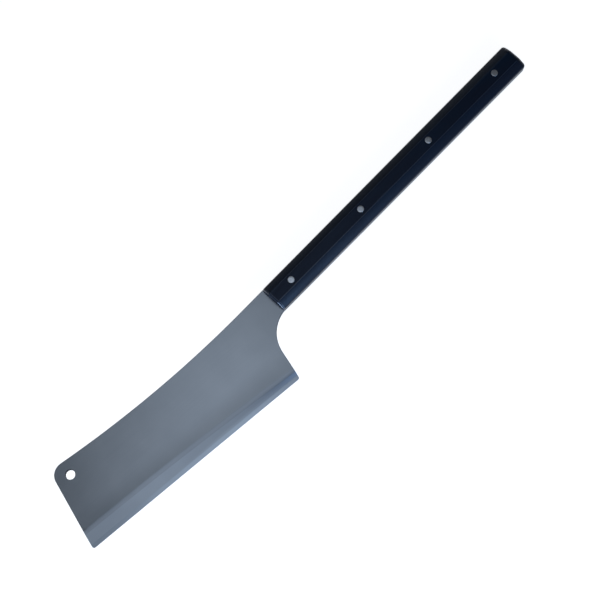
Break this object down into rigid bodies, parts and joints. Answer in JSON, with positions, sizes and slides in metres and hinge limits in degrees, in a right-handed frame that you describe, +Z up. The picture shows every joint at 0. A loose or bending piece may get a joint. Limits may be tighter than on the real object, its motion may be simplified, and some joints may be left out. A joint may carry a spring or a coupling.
{
  "type": "cleaver",
  "caption": "Long-handled splitting cleaver: straight-edged steel blade with ground bevels and a hanging hole, its full tang riveted between black handle scales.",
  "frame": {"origin": "centre of the lowest plane of the box, with the cleaver lying on its lower handle scale", "axes": "+X along the rivet row from the blade's tip to the handle's butt, +Y from the cutting edge to the spine, +Z up through the blade's thickness"},
  "size_m": [0.6794, 0.114, 0.022],
  "materials": {
    "blade_steel": "satin ground stainless steel",
    "handle_plastic": "black moulded plastic, satin",
    "rivet_metal": "flush-ground aluminium"
  },
  "bodies": {
    "root": {"blade": "blade_steel", "upper_scale": "handle_plastic", "lower_scale": "handle_plastic", "rivet_1_stud": "rivet_metal", "rivet_2_stud": "rivet_metal", "rivet_3_stud": "rivet_metal", "rivet_4_stud": "rivet_metal", "rivet_1_socket": "rivet_metal", "rivet_2_socket": "rivet_metal", "rivet_3_socket": "rivet_metal", "rivet_4_socket": "rivet_metal"}
  },
  "joints": []
}
